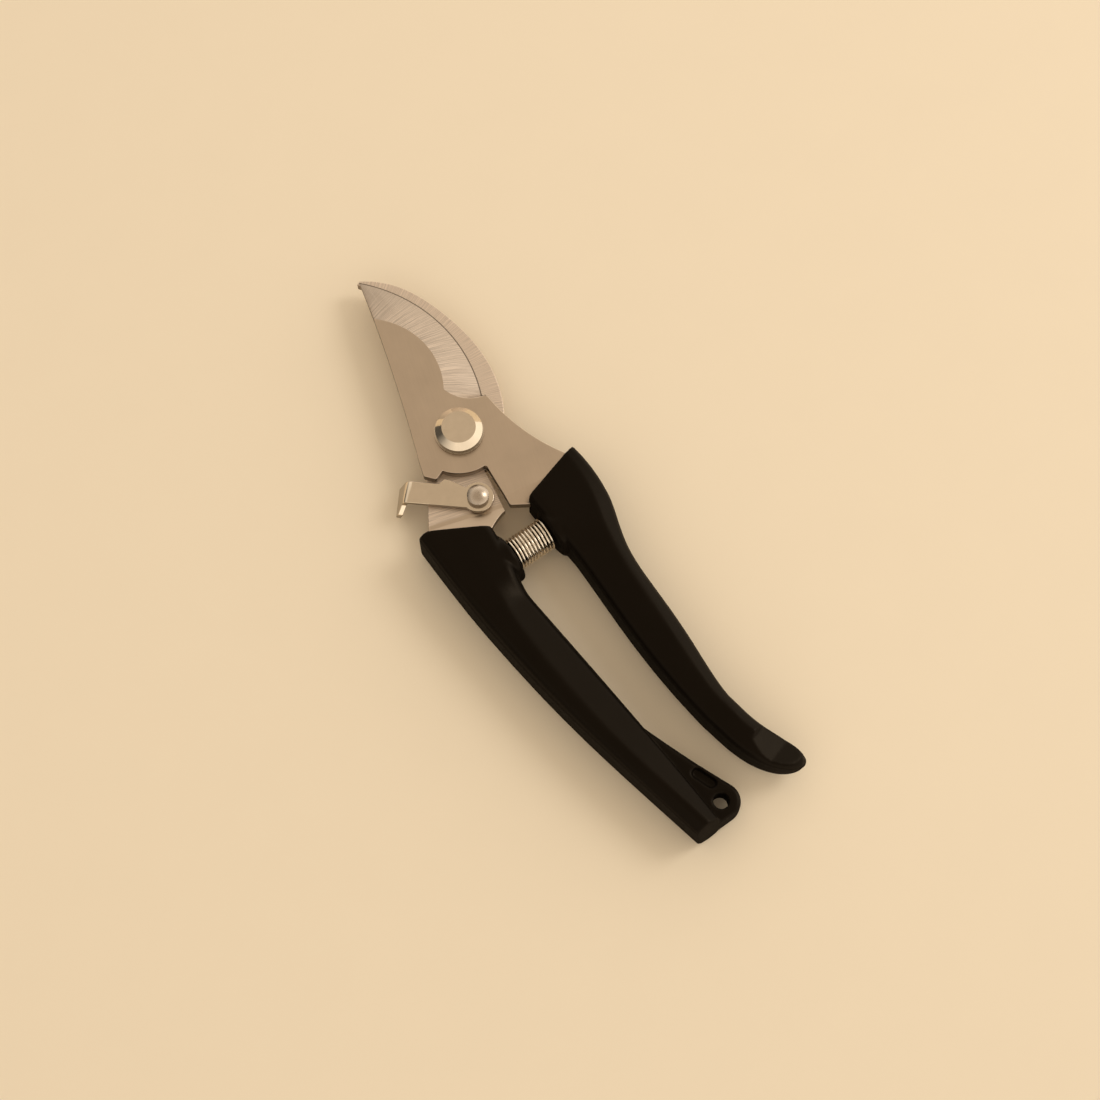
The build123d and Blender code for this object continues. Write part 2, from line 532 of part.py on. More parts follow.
def hanging_tab():
    """Thin end of the left grip with the hanging hole and a shallow pocket."""
    top = polar(HANG_TAB_RADIUS, HANG_TAB_TURN, HANG_AT)
    side = polar(HANG_TAB_RADIUS, (HANG_TAB_TURN - 90) / 2, HANG_AT)
    foot = polar(HANG_TAB_RADIUS, -90, HANG_AT)
    end = (HANG_TAB_ROOT[0], foot[1])
    plan = make_face(Curve() + [
        ThreePointArc(HANG_TAB_ROOT, HANG_TAB_MID, top),
        ThreePointArc(top, side, foot),
        Line(foot, end),
        Line(end, HANG_TAB_ROOT),
    ])
    tab = Pos(0, 0, HANG_TAB_LOW) * extrude(plan, amount=HANG_TAB_THICK)
    rims = tab.edges().group_by(Axis.Z)[0] + tab.edges().group_by(Axis.Z)[-1]
    tab = fillet(rims.filter_by(GeomType.CIRCLE), HANG_TAB_ROUND)
    hole = Pos(*HANG_AT, MID_Z) * Cylinder(HANG_HOLE_DIA / 2, GRIP_THICK)
    run = hypot(RECESS_TO[0] - RECESS_FROM[0], RECESS_TO[1] - RECESS_FROM[1])
    turn = degrees(atan2(RECESS_TO[1] - RECESS_FROM[1], RECESS_TO[0] - RECESS_FROM[0]))
    middle = ((RECESS_FROM[0] + RECESS_TO[0]) / 2, (RECESS_FROM[1] + RECESS_TO[1]) / 2)
    pocket_plan = Rot(0, 0, turn) * SlotCenterToCenter(run, RECESS_WIDE)
    pocket_low = HANG_TAB_LOW + HANG_TAB_THICK - RECESS_DEEP
    pocket = Pos(*middle, pocket_low) * extrude(pocket_plan, amount=GRIP_THICK)
    return tab, hole + pocket


def left_grip(tang):
    """Grip moulded on the counter blade's tang, with a spring seat and the hanging tab."""
    sections = []
    for y, inner, outer, thick, ridge, inner_drop, outer_drop, corner in LEFT_STATIONS:
        width = inner - outer
        section = grip_section(width, thick, width / 2 - ridge * width, (outer_drop, inner_drop), corner)
        sections.append(station_plane((inner + outer) / 2, y, 0.0) * section)
    tab, openings = hanging_tab()
    body = grip_body(sections, LEFT_JOINS) - front_cut(LEFT_FRONT) + tab - end_cut()
    return body + spring_seat(LEFT_SEAT_X, LEFT_BOSS_Y, 1) - openings - tang


def right_grip(tang):
    """Grip moulded on the cutting blade's tang, curving outwards at its end."""
    sections = []
    for x, y, width, thick, heading, ridge, inner_drop, outer_drop, corner in RIGHT_STATIONS:
        section = grip_section(width, thick, ridge * width - width / 2, (inner_drop, outer_drop), corner)
        sections.append(station_plane(x, y, heading) * section)
    tip = Pos(*RIGHT_TIP_AT, MID_Z) * Sphere(RIGHT_TIP_DIA / 2)
    body = grip_body(sections, RIGHT_JOINS) + tip - front_cut(RIGHT_FRONT) - end_facets()
    return body + spring_seat(RIGHT_SEAT_X, RIGHT_BOSS_Y, -1) - tang


def end_facets():
    """Wedge that leaves the two facets on the right grip's end."""
    station = min(RIGHT_STATIONS, key=lambda at: hypot(at[0] - FACET_AT[0], at[1] - FACET_AT[1]))
    reach, thick, high = station[2], station[3], GRIP_THICK
    rise = [reach * sin(radians(slope)) for slope in FACET_RISE]
    wedge = make_face(Plane.YZ * Polyline(
        (0, 0), (reach, rise[0]), (reach, high), (-reach, high), (-reach, rise[1]), close=True
    ))
    valley_z = MID_Z + thick / 2 - FACET_DEEP
    return Pos(*FACET_AT, valley_z) * Rot(0, FACET_TILT, FACET_TURN) * extrude(wedge, amount=reach, both=True)


def spring_line():
    """Points and directions of the coil's centreline at each half turn, with straight ends."""
    low = LEFT_SEAT_X + SPRING_END_CLEAR + SPRING_WIRE_DIA / 2
    high = RIGHT_SEAT_X - SPRING_END_CLEAR - SPRING_WIRE_DIA / 2
    pitch = (high - low) / SPRING_TURNS

    def at(turns):
        angle = 2 * pi * turns
        place = Vector(
            low + pitch * turns,
            SPRING_Y + SPRING_COIL_RADIUS * cos(angle),
            MID_Z + SPRING_COIL_RADIUS * sin(angle),
        )
        heading = Vector(
            pitch, -2 * pi * SPRING_COIL_RADIUS * sin(angle), 2 * pi * SPRING_COIL_RADIUS * cos(angle)
        ).normalized()
        return place, heading

    return [at(step / 2) for step in range(2 * SPRING_TURNS + 1)]


def biarc(first, second):
    """Two arcs that join two points along their directions."""
    (p, p_dir), (q, q_dir) = first, second
    gap, both = q - p, p_dir + q_dir
    a = both.dot(both) - 4
    b = -2 * gap.dot(both)
    reach = (-b - sqrt(b * b - 4 * a * gap.dot(gap))) / (2 * a)
    joint = ((p + p_dir * reach) + (q - q_dir * reach)) * 0.5
    return [
        Edge.make_tangent_arc(p, p_dir, joint),
        Edge.make_tangent_arc(q, q_dir * -1, joint).reversed(),
    ]


def return_spring():
    """Compression spring in one unbroken wire."""
    line = spring_line()
    arcs = [arc for pair in zip(line, line[1:]) for arc in biarc(*pair)]
    (start, start_dir), (end, end_dir) = line[0], line[-1]
    lead = Edge.make_line(start - start_dir * SPRING_WIRE_DIA, start)
    tail = Edge.make_line(end, end + end_dir * SPRING_WIRE_DIA)
    path = Wire([lead, *arcs, tail])
    round_wire = Plane(origin=path @ 0, z_dir=path % 0) * Circle(SPRING_WIRE_DIA / 2)
    print(f"return_spring: wire {path.length:.1f} long, gap between turns {least_gap(path):.2f}")
    return sweep(round_wire, path=path)


def least_gap(path):
    """Least distance between the surfaces of neighbouring turns, measured on points of the wire."""
    steps = 48 * SPRING_TURNS
    points = [path @ (i / steps) for i in range(steps + 1)]
    near_turn = 2 * pi * SPRING_COIL_RADIUS
    apart = [
        (p - q).length
        for i, p in enumerate(points)
        for j, q in enumerate(points[i + 1:], i + 1)
        if (j - i) * path.length / steps > near_turn / 2
    ]
    return min(apart) - SPRING_WIRE_DIA


def build():
    """Every piece under its node's name, about the pivot."""
    blade, counter = cutting_blade(), counter_blade()
    return {
        "cutting_blade": blade,
        "counter_blade": counter,
        "pivot_bolt": pivot_bolt(),
        "pivot_head_washer": pivot_head_washer(),
        "pivot_lock_washer": pivot_lock_washer(),
        "pivot_nut": pivot_nut(),
        "lock_catch": lock_catch(),
        "catch_washer": catch_washer(),
        "catch_rivet": catch_rivet(),
        "left_grip": left_grip(counter),
        "right_grip": right_grip(blade),
        "return_spring": return_spring(),
    }


def main():
    pieces = build()
    boxes = [piece.bounding_box() for piece in pieces.values()]
    low = [min(getattr(box.min, axis) for box in boxes) for axis in "XYZ"]
    high = [max(getattr(box.max, axis) for box in boxes) for axis in "XYZ"]
    shift = Pos(-(low[0] + high[0]) / 2, -(low[1] + high[1]) / 2, -low[2])
    os.makedirs("parts", exist_ok=True)
    for name, piece in pieces.items():
        export_step(shift * piece, f"parts/{name}.step")
    marks = {"pivot": (0, 0, MID_Z), "catch rivet": (*CATCH_AT, CATCH_Z), "hanging hole": (*HANG_AT, HANG_Z)}
    for name, mark in marks.items():
        place = shift * Pos(*mark)
        print(name, [round(v, 4) for v in place.position])
    print("overall", [round(h - l, 2) for l, h in zip(low, high)])


main()
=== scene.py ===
"""Bypass pruning shears: steel blades, plated fittings, coil return spring and black moulded grips."""

import json
from math import cos, hypot, pi, radians, sin, tan

import bpy
from bpy.props import FloatProperty, FloatVectorProperty, IntProperty, PointerProperty
from mathutils import Matrix, Vector
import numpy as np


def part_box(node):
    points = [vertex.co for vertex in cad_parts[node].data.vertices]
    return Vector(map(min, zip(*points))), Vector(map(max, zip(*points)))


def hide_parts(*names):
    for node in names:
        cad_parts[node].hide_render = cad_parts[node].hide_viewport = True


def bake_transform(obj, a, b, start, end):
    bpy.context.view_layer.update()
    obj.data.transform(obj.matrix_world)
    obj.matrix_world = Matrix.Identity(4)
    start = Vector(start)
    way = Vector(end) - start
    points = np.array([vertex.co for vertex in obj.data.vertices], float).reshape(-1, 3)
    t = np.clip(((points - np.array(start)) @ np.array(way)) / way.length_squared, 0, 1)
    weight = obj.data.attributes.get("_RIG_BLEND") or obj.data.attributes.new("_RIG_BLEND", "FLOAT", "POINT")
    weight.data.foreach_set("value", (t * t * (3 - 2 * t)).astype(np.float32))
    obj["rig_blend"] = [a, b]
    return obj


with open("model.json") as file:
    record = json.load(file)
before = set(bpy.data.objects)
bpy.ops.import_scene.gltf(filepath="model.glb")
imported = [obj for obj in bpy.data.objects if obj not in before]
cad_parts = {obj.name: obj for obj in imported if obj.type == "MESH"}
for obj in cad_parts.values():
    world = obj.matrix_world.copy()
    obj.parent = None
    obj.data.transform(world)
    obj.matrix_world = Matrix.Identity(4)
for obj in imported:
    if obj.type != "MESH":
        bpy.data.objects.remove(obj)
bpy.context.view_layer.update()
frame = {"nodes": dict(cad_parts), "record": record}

bl_info = {
    "name": "Pruning shears",
    "version": (1, 0, 0),
    "blender": (4, 5, 0),
    "location": "View3D > Sidebar > Shears",
    "description": "Dresses the packed pruning shears and sets them on a plain studio floor",
    "category": "Object",
}

MM = 0.001
JOINTS = {joint["name"]: joint for joint in frame["record"]["behaviour"]["joints"]}
PIVOT = Vector(JOINTS["blade_hinge"]["pos_m"])
RIVET = Vector(JOINTS["catch_hinge"]["pos_m"])

# Plan places on the blades, in millimetres from the pivot
EDGE_ARC = ((4.1, 61.1), (17.4, 28.0), (13.3, 7.2))      # cutting edge
BEVEL_ARC = ((0.4, 46.6), (8.3, 30.5), (4.3, 14.4))      # inner line of the ground bevel
HEEL_ARC = ((4.3, 14.4), (6.7, 9.6), (13.0, 5.6))        # rounded end of the ground bevel
HOOK_ARC = ((4.6, 61.6), (21.7, 24.0), (14.4, -3.4))     # outer edge of the counter blade
PLATE_BEND_Y, PLATE_BEND_TURN = -26.3, -17.0             # where the counter blade's plate starts to bend
EDGE_SHADE_WIDTH = 0.35                                       # painted shade: a narrow dark line along the cutting edge
LINE_BLUR = 0.12                                         # half width over which one finish meets the next
STROKE_WIDTH, STROKE_LENGTH = 0.2, 24.0                  # grinding strokes square to an edge
BEVEL_STROKE_LEAN = 14.0                                 # degrees, of the cutting bevel's strokes
PLATE_STROKE_WIDTH, PLATE_STROKE_LENGTH = 0.34, 16.0     # grinding strokes along the counter blade's plate
PLATE_STROKES_FROM_Y, PLATE_STROKES_TO_Y = -4.0, -8.0    # where the plate's strokes take over
FLAT_LINE_TURN = 72.0                                    # degrees, of the faint lines on the cutting blade
FLAT_LINE_WIDTH, FLAT_LINE_LENGTH = 0.5, 14.0
CATCH_ARM_TURN = 139.0                                   # degrees, of the scratches along the catch's arm
CATCH_LINE_WIDTH, CATCH_LINE_LENGTH = 0.12, 6.0
BOLT_FLAT_RADIUS = 5.2                                   # flat top of the bolt's head
WIRE_SIDES = 16                                          # faces round the spring's wire
STEPS_PER_TURN = 72                                      # points along each turn of the spring
WELD_GAP = 0.002 * MM                                    # joins the facets of a solid
FLOOR_REACH = 30.0                                       # metres from the middle of the floor to its sides


class BladeFinish(bpy.types.PropertyGroup):
    """Steel of the two blades."""
    satin: FloatVectorProperty(
        name="Satin steel", description="Colour of the smooth flats", subtype="COLOR", size=3,
        default=(0.62, 0.51, 0.40),
    )
    ground: FloatVectorProperty(
        name="Ground steel", description="Colour of the ground faces", subtype="COLOR", size=3,
        default=(0.78, 0.66, 0.55),
    )
    edge_break: FloatProperty(
        name="Edge break", description="Width of the softened edges", subtype="DISTANCE", default=0.22 * MM,
    )


class FittingFinish(bpy.types.PropertyGroup):
    """Plating of the pivot, the catch and the rivet."""
    plating: FloatVectorProperty(
        name="Plating", description="Colour of the polished plating", subtype="COLOR", size=3,
        default=(0.80, 0.69, 0.55),
    )
    rivet: FloatVectorProperty(
        name="Rivet", description="Colour of the catch's rivet", subtype="COLOR", size=3,
        default=(0.58, 0.49, 0.40),
    )
    edge_break: FloatProperty(
        name="Edge break", description="Width of the softened edges", subtype="DISTANCE", default=0.2 * MM,
    )


class SpringForm(bpy.types.PropertyGroup):
    """Return spring."""
    wire: FloatProperty(
        name="Wire", description="Diameter of the spring's wire", subtype="DISTANCE", default=0.75 * MM,
    )
    turns: IntProperty(name="Turns", description="Turns between the seats", default=11, min=1)
    steel: FloatVectorProperty(
        name="Steel", description="Colour of the polished wire", subtype="COLOR", size=3,
        default=(0.93, 0.83, 0.69),
    )


class GripFinish(bpy.types.PropertyGroup):
    """Moulded plastic grips."""
    plastic: FloatVectorProperty(
        name="Plastic", description="Colour of the plastic", subtype="COLOR", size=3,
        default=(0.0042, 0.0028, 0.0018),
    )
    voxel: FloatProperty(
        name="Mesh size", description="Facet size of the moulded surface", subtype="DISTANCE",
        default=0.36 * MM,
    )
    soften: IntProperty(
        name="Softening", description="Rounds of smoothing on moulded edges", default=6, min=0,
    )


class StudioSetup(bpy.types.PropertyGroup):
    """Floor, lights and camera."""
    tilt: FloatProperty(
        name="Camera tilt", description="Camera's lean from straight above", subtype="ANGLE",
        default=radians(20.0),
    )
    turn: FloatProperty(
        name="Camera turn", description="Direction of the picture's up, from +Y", subtype="ANGLE",
        default=radians(-35.7),
    )
    distance: FloatProperty(
        name="Distance", description="Camera to the point it looks at", subtype="DISTANCE", default=0.622,
    )
    lens: FloatProperty(name="Lens", description="Focal length in millimetres", default=67.2)
    aim: FloatVectorProperty(
        name="Aim", description="Floor point in the picture's centre, from the pivot", subtype="TRANSLATION",
        size=2, default=(2.5 * MM, -43.8 * MM),
    )
    floor: FloatVectorProperty(
        name="Floor", description="Colour of the floor", subtype="COLOR", size=3, default=(0.92, 0.81, 0.64),
    )
    key_power: FloatProperty(
        name="Key light", description="Power of the soft box", subtype="POWER", default=2.7,
    )
    key_size: FloatProperty(
        name="Key size", description="Side of the soft box", subtype="DISTANCE", default=0.45,
    )
    key_at: FloatVectorProperty(
        name="Key place", description="Soft box from the aim: right, up the picture and above the floor",
        subtype="TRANSLATION", size=3, default=(0.8, 0.35, 0.8),
    )
    key_colour: FloatVectorProperty(
        name="Key colour", description="Colour of the soft box", subtype="COLOR", size=3,
        default=(1.0, 0.95, 0.88),
    )
    horizon: FloatVectorProperty(
        name="Horizon", description="Colour of the light around the floor", subtype="COLOR", size=3,
        default=(1.0, 0.90, 0.76),
    )
    overhead: FloatVectorProperty(
        name="Overhead", description="Colour of the light from above", subtype="COLOR", size=3,
        default=(0.43, 0.35, 0.26),
    )
    strength: FloatProperty(name="Strength", description="Strength of the light all round", default=1.35)


class Recipe:
    """A material while it is being put together."""

    def __init__(self, name):
        self.material = bpy.data.materials.new(name)
        self.material.use_nodes = True
        self.tree = self.material.node_tree
        self.shader = self.tree.nodes["Principled BSDF"]

    def node(self, kind, **settings):
        made = self.tree.nodes.new("ShaderNode" + kind)
        for key, value in settings.items():
            setattr(made, key, value)
        return made

    def feed(self, socket, value):
        if isinstance(value, bpy.types.NodeSocket):
            self.tree.links.new(value, socket)
        else:
            socket.default_value = value

    def math(self, operation, *values):
        made = self.node("Math", operation=operation)
        for socket, value in zip(made.inputs, values):
            self.feed(socket, value)
        return made.outputs[0]

    def vector(self, operation, *values, output="Vector"):
        made = self.node("VectorMath", operation=operation)
        for socket, value in zip(made.inputs, values):
            self.feed(socket, value)
        return made.outputs[output]

    def place(self, origin):
        """Millimetres from a point of the frame."""
        coords = self.node("TexCoord").outputs["Object"]
        offset = self.vector("SUBTRACT", coords, tuple(origin))
        scale = self.node("VectorMath", operation="SCALE")
        self.feed(scale.inputs[0], offset)
        scale.inputs["Scale"].default_value = 1 / MM
        return scale.outputs["Vector"]

    def split(self, vector):
        made = self.node("SeparateXYZ")
        self.feed(made.inputs[0], vector)
        return made.outputs[0], made.outputs[1], made.outputs[2]

    def join(self, x, y, z):
        made = self.node("CombineXYZ")
        for socket, value in zip(made.inputs, (x, y, z)):
            self.feed(socket, value)
        return made.outputs[0]

    def noise(self, vector, scale, detail=3.0, roughness=0.55):
        made = self.node("TexNoise", noise_dimensions="3D")
        self.feed(made.inputs["Vector"], vector)
        made.inputs["Scale"].default_value = scale
        made.inputs["Detail"].default_value = detail
        made.inputs["Roughness"].default_value = roughness
        return made.outputs["Fac"]

    def ramp(self, value, low, high, to_low=0.0, to_high=1.0):
        made = self.node("MapRange", interpolation_type="SMOOTHSTEP")
        self.feed(made.inputs["Value"], value)
        for name, setting in zip(("From Min", "From Max", "To Min", "To Max"), (low, high, to_low, to_high)):
            self.feed(made.inputs[name], setting)
        return made.outputs[0]

    def blend(self, factor, first, second):
        made = self.node("Mix", data_type="FLOAT")
        for socket, value in zip((made.inputs[0], made.inputs[2], made.inputs[3]), (factor, first, second)):
            self.feed(socket, value)
        return made.outputs[0]

    def tint(self, factor, first, second):
        made = self.node("Mix", data_type="RGBA")
        for socket, value in zip((made.inputs[0], made.inputs[6], made.inputs[7]), (factor, first, second)):
            self.feed(socket, value)
        return made.outputs[2]

    def bump(self, height, strength, depth):
        made = self.node("Bump")
        made.inputs["Strength"].default_value = strength
        made.inputs["Distance"].default_value = depth
        self.feed(made.inputs["Height"], height)
        return made.outputs[0]

    def finish(self, **sockets):
        for name, value in sockets.items():
            self.feed(self.shader.inputs[name.replace("_", " ")], value)
        return self.material


def shade(colour, factor):
    """A colour, lighter or darker, with alpha."""
    return (*(min(1.0, channel * factor) for channel in colour), 1.0)


def circle_through(first, second, third):
    """Centre and radius of the circle through three plan points."""
    (ax, ay), (bx, by), (cx, cy) = first, second, third
    twice = 2 * (ax * (by - cy) + bx * (cy - ay) + cx * (ay - by))
    a2, b2, c2 = ax * ax + ay * ay, bx * bx + by * by, cx * cx + cy * cy
    x = (a2 * (by - cy) + b2 * (cy - ay) + c2 * (ay - by)) / twice
    y = (a2 * (cx - bx) + b2 * (ax - cx) + c2 * (bx - ax)) / twice
    return (x, y), hypot(ax - x, ay - y)


def beyond(recipe, place, arc, inset=0.0):
    """0 inside the circle through an arc's three points and 1 outside it; short of the arc by inset."""
    centre, radius = circle_through(*arc)
    x, y, _ = recipe.split(place)
    distance = recipe.vector("DISTANCE", recipe.join(x, y, 0.0), (*centre, 0.0), output="Value")
    return recipe.ramp(distance, radius - inset - LINE_BLUR, radius - inset + LINE_BLUR)


def fan_strokes(recipe, place, arc, lean=0.0):
    """Grinding marks square to an arc, or leaning from that, as noise from 0 to 1."""
    centre, radius = circle_through(*arc)
    x, y, _ = recipe.split(recipe.vector("SUBTRACT", place, (*centre, 0.0)))
    along = recipe.vector("LENGTH", recipe.join(x, y, 0.0), output="Value")
    across = recipe.math("MULTIPLY", recipe.math("ARCTAN2", y, x), radius)
    across = recipe.math("ADD", across, recipe.math("MULTIPLY", along, tan(lean)))
    across = recipe.math("ADD", across, recipe.math("MULTIPLY", recipe.noise(place, 0.3, 1.0), 0.5))
    across = recipe.math("DIVIDE", across, STROKE_WIDTH)
    along = recipe.math("DIVIDE", along, STROKE_LENGTH)
    return recipe.noise(recipe.join(across, along, 0.0), 1.0, 3.0, 0.6)


def side_walls(recipe):
    """1 on upright faces, such as a sheet's cut edges, and 0 on level ones."""
    _, _, rise = recipe.split(recipe.node("NewGeometry").outputs["Normal"])
    return recipe.ramp(recipe.math("ABSOLUTE", rise), 0.25, 0.6, 1.0, 0.0)


def straight_strokes(recipe, place, turn, width, length):
    """Grinding marks along one direction, given in degrees, as noise from 0 to 1."""
    mapped = recipe.node("Mapping", vector_type="TEXTURE")
    recipe.feed(mapped.inputs["Vector"], place)
    mapped.inputs["Rotation"].default_value = (0.0, 0.0, radians(turn))
    mapped.inputs["Scale"].default_value = (length, width, width)
    return recipe.noise(mapped.outputs[0], 1.0, 4.0, 0.6)


def cutting_blade_steel(satin, ground):
    """Smooth satin flat, and a lighter bevel ground square to the edge."""
    recipe = Recipe("cutting_blade_steel")
    place = recipe.place(PIVOT)
    x, y, _ = recipe.split(place)
    past_line = beyond(recipe, place, BEVEL_ARC)
    past_heel = beyond(recipe, place, HEEL_ARC)
    edge_shade = beyond(recipe, place, EDGE_ARC, EDGE_SHADE_WIDTH)
    heel_sum = sum(HEEL_ARC[0])
    past_chord = recipe.ramp(recipe.math("ADD", x, y), heel_sum - LINE_BLUR, heel_sum + LINE_BLUR)
    in_heel = recipe.math("MAXIMUM", past_chord, recipe.math("SUBTRACT", 1.0, past_heel))
    bevel = recipe.math("MULTIPLY", past_line, in_heel)
    strokes = fan_strokes(recipe, place, EDGE_ARC, radians(BEVEL_STROKE_LEAN))
    haze = recipe.noise(place, 0.1, 2.0)
    lines = straight_strokes(recipe, place, FLAT_LINE_TURN, FLAT_LINE_WIDTH, FLAT_LINE_LENGTH)
    flat = recipe.blend(0.3, haze, lines)
    flat_colour = recipe.tint(flat, shade(satin, 0.86), shade(satin, 1.16))
    # The bevel's grinding strokes, with painted shade that darkens the bevel towards the tip.
    strokes_and_tip_shade = recipe.math("MULTIPLY", recipe.ramp(strokes, 0.36, 0.64), recipe.ramp(y, 58.0, 40.0, 0.55, 1.0))
    bevel_colour = recipe.tint(strokes_and_tip_shade, shade(ground, 0.5), shade(ground, 0.92))
    # Painted shade: a narrow dark line along the cutting edge, in place of the shadowed gap under it.
    bevel_colour = recipe.tint(edge_shade, bevel_colour, shade(satin, 0.25))
    colour = recipe.tint(bevel, flat_colour, bevel_colour)
    # Painted shade: upright faces, such as the cut edges, are darker.
    colour = recipe.tint(side_walls(recipe), colour, shade(satin, 0.4))
    rough = recipe.blend(bevel, 0.29, recipe.ramp(strokes, 0.3, 0.7, 0.46, 0.58))
    normal = recipe.bump(recipe.math("MULTIPLY", strokes, bevel), 0.16, 0.03 * MM)
    return recipe.finish(Base_Color=colour, Metallic=1.0, Roughness=rough, Normal=normal)


def counter_blade_steel(satin, ground):
    """Ground marks square to the hook's edge and along the plate, satin where the plate bends."""
    recipe = Recipe("counter_blade_steel")
    place = recipe.place(PIVOT)
    x, y, _ = recipe.split(place)
    fan = fan_strokes(recipe, place, HOOK_ARC)
    plate = straight_strokes(recipe, place, PLATE_BEND_TURN, PLATE_STROKE_WIDTH, PLATE_STROKE_LENGTH)
    strokes = recipe.blend(recipe.ramp(y, PLATE_STROKES_TO_Y, PLATE_STROKES_FROM_Y), plate, fan)
    slope = tan(radians(PLATE_BEND_TURN))
    above_bend = recipe.math("SUBTRACT", y, recipe.math("MULTIPLY", x, slope))
    marked = recipe.ramp(above_bend, PLATE_BEND_Y - 0.3, PLATE_BEND_Y + 0.3)
    ground_colour = recipe.tint(recipe.ramp(strokes, 0.35, 0.65), shade(ground, 0.77), shade(ground, 1.12))
    colour = recipe.tint(marked, shade(satin, 1.0), ground_colour)
    # Painted shade: upright faces, such as the cut edges, are darker.
    colour = recipe.tint(side_walls(recipe), colour, shade(satin, 0.5))
    rough = recipe.blend(marked, 0.32, recipe.ramp(strokes, 0.3, 0.7, 0.44, 0.56))
    normal = recipe.bump(recipe.math("MULTIPLY", strokes, marked), 0.16, 0.03 * MM)
    return recipe.finish(Base_Color=colour, Metallic=1.0, Roughness=rough, Normal=normal)


def bolt_plating(plating):
    """Mirror bevel and a faintly turned, satin flat on the bolt's head."""
    recipe = Recipe("bolt_plating")
    place = recipe.place(PIVOT)
    x, y, _ = recipe.split(place)
    radius = recipe.vector("LENGTH", recipe.join(x, y, 0.0), output="Value")
    rings = recipe.noise(recipe.join(recipe.math("MULTIPLY", radius, 3.0), 0.0, 0.0), 1.0)
    haze = recipe.noise(place, 0.45, 3.0)
    flat = recipe.ramp(radius, BOLT_FLAT_RADIUS - 0.1, BOLT_FLAT_RADIUS + 0.1, 1.0, 0.0)
    colour = recipe.tint(haze, shade(plating, 0.94), shade(plating, 1.05))
    # Painted shade: the upright rim of the head is darker.
    colour = recipe.tint(side_walls(recipe), colour, shade(plating, 0.3))
    rough = recipe.blend(flat, 0.07, recipe.ramp(recipe.blend(0.5, rings, haze), 0.3, 0.7, 0.2, 0.27))
    normal = recipe.bump(recipe.math("MULTIPLY", rings, flat), 0.05, 0.02 * MM)
    return recipe.finish(Base_Color=colour, Metallic=1.0, Roughness=rough, Normal=normal)


def catch_plating(plating):
    """Polished sheet with fine scratches along the arm."""
    recipe = Recipe("catch_plating")
    place = recipe.place(RIVET)
    scratches = straight_strokes(recipe, place, CATCH_ARM_TURN, CATCH_LINE_WIDTH, CATCH_LINE_LENGTH)
    waves = recipe.noise(place, 0.3, 2.0)
    colour = recipe.tint(waves, shade(plating, 0.92), shade(plating, 1.06))
    # Painted shade: upright edges of the sheet are darker.
    colour = recipe.tint(side_walls(recipe), colour, shade(plating, 0.45))
    rough = recipe.ramp(scratches, 0.45, 0.8, 0.1, 0.2)
    normal = recipe.bump(recipe.blend(0.7, scratches, waves), 0.08, 0.03 * MM)
    return recipe.finish(Base_Color=colour, Metallic=1.0, Roughness=rough, Normal=normal)


def satin_fastener(name, plating, origin):
    """Tumbled, slightly grained steel of the rivet, nut and washers."""
    recipe = Recipe(name)
    place = recipe.place(origin)
    grain = recipe.noise(place, 1.4, 4.0)
    colour = recipe.tint(grain, shade(plating, 0.82), shade(plating, 1.0))
    # Painted shade: upright faces are darker.
    colour = recipe.tint(side_walls(recipe), colour, shade(plating, 0.45))
    rough = recipe.ramp(grain, 0.3, 0.7, 0.24, 0.36)
    normal = recipe.bump(grain, 0.08, 0.03 * MM)
    return recipe.finish(Base_Color=colour, Metallic=1.0, Roughness=rough, Normal=normal)


def spring_wire(steel):
    """Drawn, polished wire."""
    recipe = Recipe("spring_wire")
    place = recipe.place(PIVOT)
    drawn = recipe.noise(place, 1.2, 4.0)
    colour = recipe.tint(drawn, shade(steel, 0.88), shade(steel, 1.06))
    rough = recipe.ramp(drawn, 0.35, 0.7, 0.16, 0.26)
    normal = recipe.bump(drawn, 0.06, 0.02 * MM)
    return recipe.finish(Base_Color=colour, Metallic=1.0, Roughness=rough, Normal=normal)


def grip_plastic(plastic):
    """Fine moulded texture with a parting line, faint rubbed patches, a few pale specks and duller sides."""
    recipe = Recipe("grip_plastic")
    place = recipe.place(PIVOT)
    _, _, z = recipe.split(place)
    seam = recipe.ramp(recipe.math("ABSOLUTE", z), 0.1, 0.35, 1.0, 0.0)
    texture = recipe.noise(place, 3.0, 3.0, 0.65)
    rubbed = recipe.noise(place, 0.07, 3.0)
    specks = recipe.ramp(recipe.noise(place, 1.1, 2.0), 0.70, 0.78)
    colour = recipe.tint(rubbed, shade(plastic, 0.8), shade(plastic, 1.25))
    colour = recipe.tint(recipe.math("MULTIPLY", specks, 0.2), colour, shade(plastic, 4.0))
    worn = recipe.ramp(rubbed, 0.35, 0.65, 0.33, 0.37)
    rough = recipe.math("ADD", worn, recipe.ramp(texture, 0.3, 0.7, -0.03, 0.05))
    rough = recipe.blend(side_walls(recipe), rough, 0.85)
    height = recipe.math("ADD", texture, recipe.math("MULTIPLY", seam, 6.0))
    normal = recipe.bump(height, 0.4, 0.05 * MM)
    return recipe.finish(
        Base_Color=colour, Roughness=rough, Normal=normal, Specular_IOR_Level=0.1,
        Specular_Tint=(1.0, 0.82, 0.6, 1.0),
    )


def wear(node, material):
    """Puts one material on a node of the frame."""
    part = frame["nodes"][node]
    part.data.materials.clear()
    part.data.materials.append(material)
    return part


